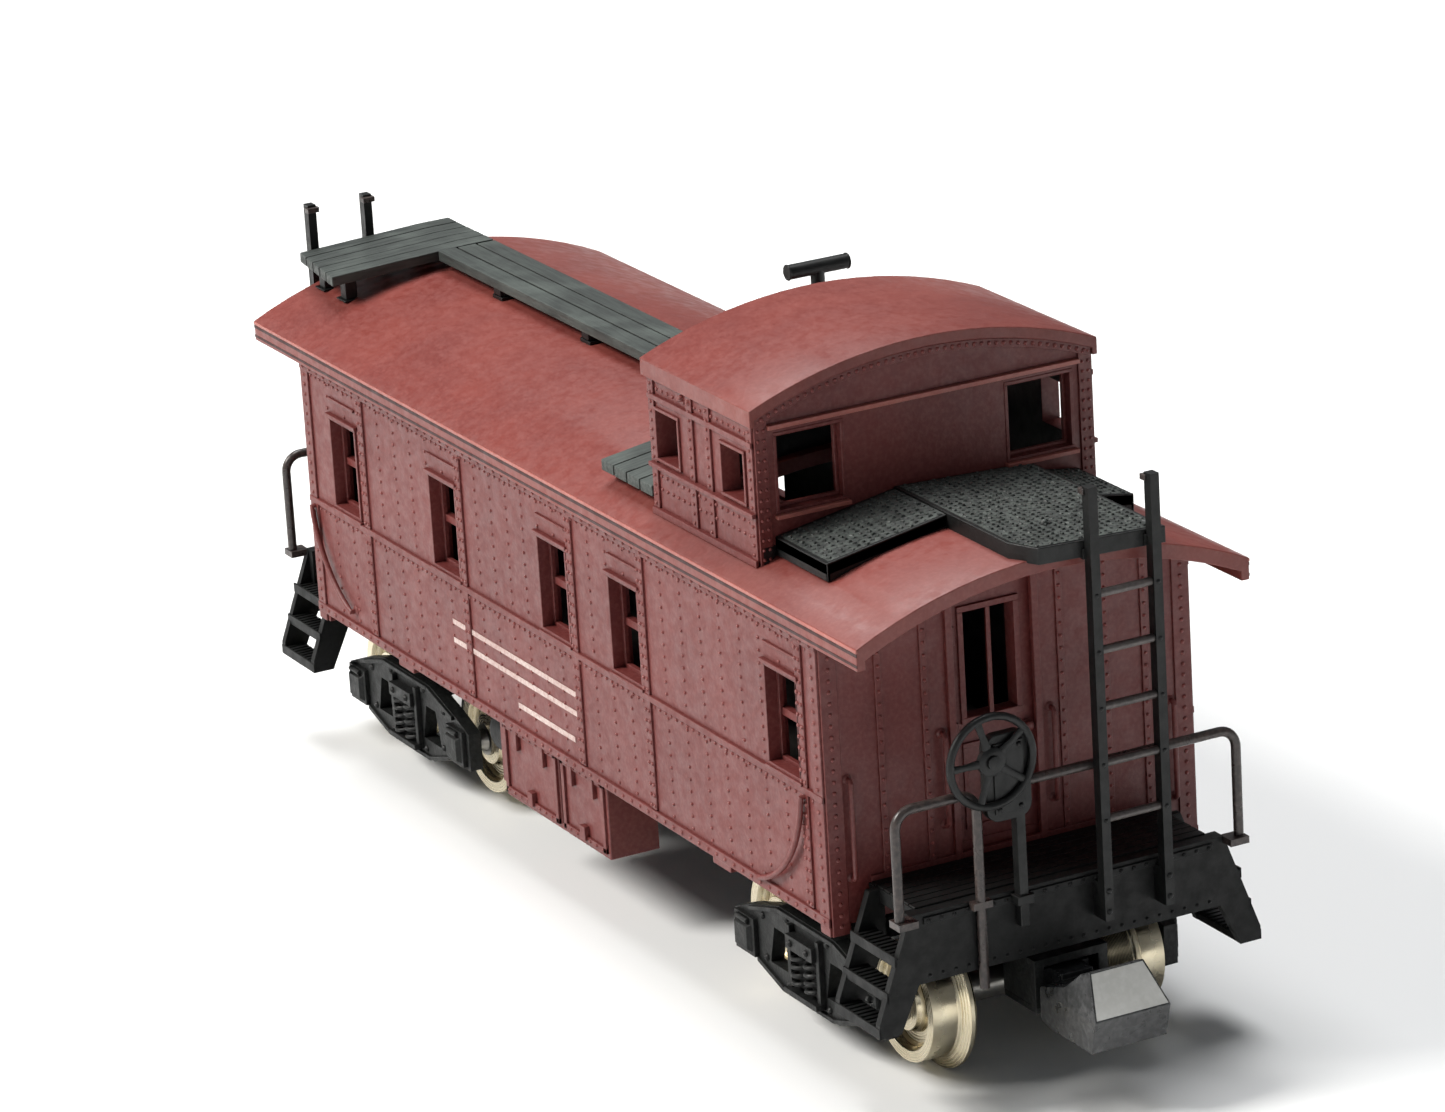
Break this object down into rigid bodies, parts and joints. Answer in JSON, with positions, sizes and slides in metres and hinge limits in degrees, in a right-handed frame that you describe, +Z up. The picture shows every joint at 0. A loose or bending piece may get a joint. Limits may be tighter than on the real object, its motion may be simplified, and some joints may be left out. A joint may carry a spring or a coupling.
{
  "type": "model railway caboose",
  "caption": "Small-scale model caboose with riveted body, raised cupola, roof walks, end platforms and swivelling trucks for 9 mm track.",
  "frame": {"origin": "on the plane of the lowest wheel-flange points, under the middle of the car", "axes": "+X along the track towards the cupola end, +Y across the track, +Z up"},
  "size_m": [0.068, 0.0186, 0.0296],
  "materials": {
    "red_plastic": "satin oxide red moulding",
    "roof_red": "satin oxide red moulding",
    "walk_plastic": "dark grey moulding",
    "black_plastic": "black moulding",
    "frame_plastic": "black moulding",
    "rail_plastic": "dark satin moulding",
    "truck_plastic": "black slippery moulding",
    "coupler_plastic": "black satin moulding",
    "wheel_nickel": "turned nickel silver",
    "axle_steel": "turned steel",
    "weight_steel": "sheared steel",
    "screw_steel": "plated steel",
    "spring_steel": "spring wire"
  },
  "bodies": {
    "root": {"body_shell": "red_plastic", "main_roof": "roof_red", "cupola_walls": "red_plastic", "cupola_roof": "roof_red", "battery_box_left": "red_plastic", "battery_box_right": "red_plastic", "roofwalk_main": "walk_plastic", "roofwalk_rear": "walk_plastic", "roofwalk_front": "walk_plastic", "smokejack": "black_plastic", "underframe": "frame_plastic", "ballast_weight": "weight_steel", "floor_screws": "screw_steel", "air_reservoir": "frame_plastic", "brake_cylinder": "frame_plastic", "end_platform_a": "frame_plastic", "end_railing_a": "rail_plastic", "ladder_a": "black_plastic", "brake_wheel_a": "black_plastic", "brake_stand_a": "black_plastic", "truck_pin_a": "truck_plastic", "end_platform_b": "frame_plastic", "end_railing_b": "rail_plastic", "ladder_b": "black_plastic", "brake_wheel_b": "black_plastic", "brake_stand_b": "black_plastic", "truck_pin_b": "truck_plastic"},
    "truck_a": {"truck_frame_a": "truck_plastic", "coupler_cover_a": "truck_plastic", "coupler_spring_a": "spring_steel"},
    "coupler_arm_a": {"coupler_a": "coupler_plastic"},
    "wheelset_a1": {"axle_a1": "axle_steel", "wheels_a1": "wheel_nickel"},
    "wheelset_a2": {"axle_a2": "axle_steel", "wheels_a2": "wheel_nickel"},
    "truck_b": {"truck_frame_b": "truck_plastic", "coupler_cover_b": "truck_plastic", "coupler_spring_b": "spring_steel"},
    "coupler_arm_b": {"coupler_b": "coupler_plastic"},
    "wheelset_b1": {"axle_b1": "axle_steel", "wheels_b1": "wheel_nickel"},
    "wheelset_b2": {"axle_b2": "axle_steel", "wheels_b2": "wheel_nickel"}
  },
  "joints": [
    {"name": "truck_a_swivel", "type": "hinge", "parent": "root", "child": "truck_a", "pos_m": [0.0195, 0, 0.0059], "axis": [0, 0, 1], "range_deg": [-6, 6]},
    {"name": "wheelset_a1_spin", "type": "hinge", "parent": "truck_a", "child": "wheelset_a1", "pos_m": [0.0248, 0, 0.00317], "axis": [0, 1, 0], "continuous": true},
    {"name": "wheelset_a2_spin", "type": "hinge", "parent": "truck_a", "child": "wheelset_a2", "pos_m": [0.0142, 0, 0.00317], "axis": [0, 1, 0], "continuous": true},
    {"name": "coupler_a_lift", "type": "hinge", "parent": "truck_a", "child": "coupler_arm_a", "pos_m": [0.02845, 0, 0.0044], "axis": [0, -1, 0], "range_deg": [0, 7], "stiffness_Nm_per_rad": 0.00002},
    {"name": "truck_b_swivel", "type": "hinge", "parent": "root", "child": "truck_b", "pos_m": [-0.0195, 0, 0.0059], "axis": [0, 0, 1], "range_deg": [-6, 6]},
    {"name": "wheelset_b1_spin", "type": "hinge", "parent": "truck_b", "child": "wheelset_b1", "pos_m": [-0.0248, 0, 0.00317], "axis": [0, 1, 0], "continuous": true},
    {"name": "wheelset_b2_spin", "type": "hinge", "parent": "truck_b", "child": "wheelset_b2", "pos_m": [-0.0142, 0, 0.00317], "axis": [0, 1, 0], "continuous": true},
    {"name": "coupler_b_lift", "type": "hinge", "parent": "truck_b", "child": "coupler_arm_b", "pos_m": [-0.02845, 0, 0.0044], "axis": [0, 1, 0], "range_deg": [0, 7], "stiffness_Nm_per_rad": 0.00002}
  ]
}
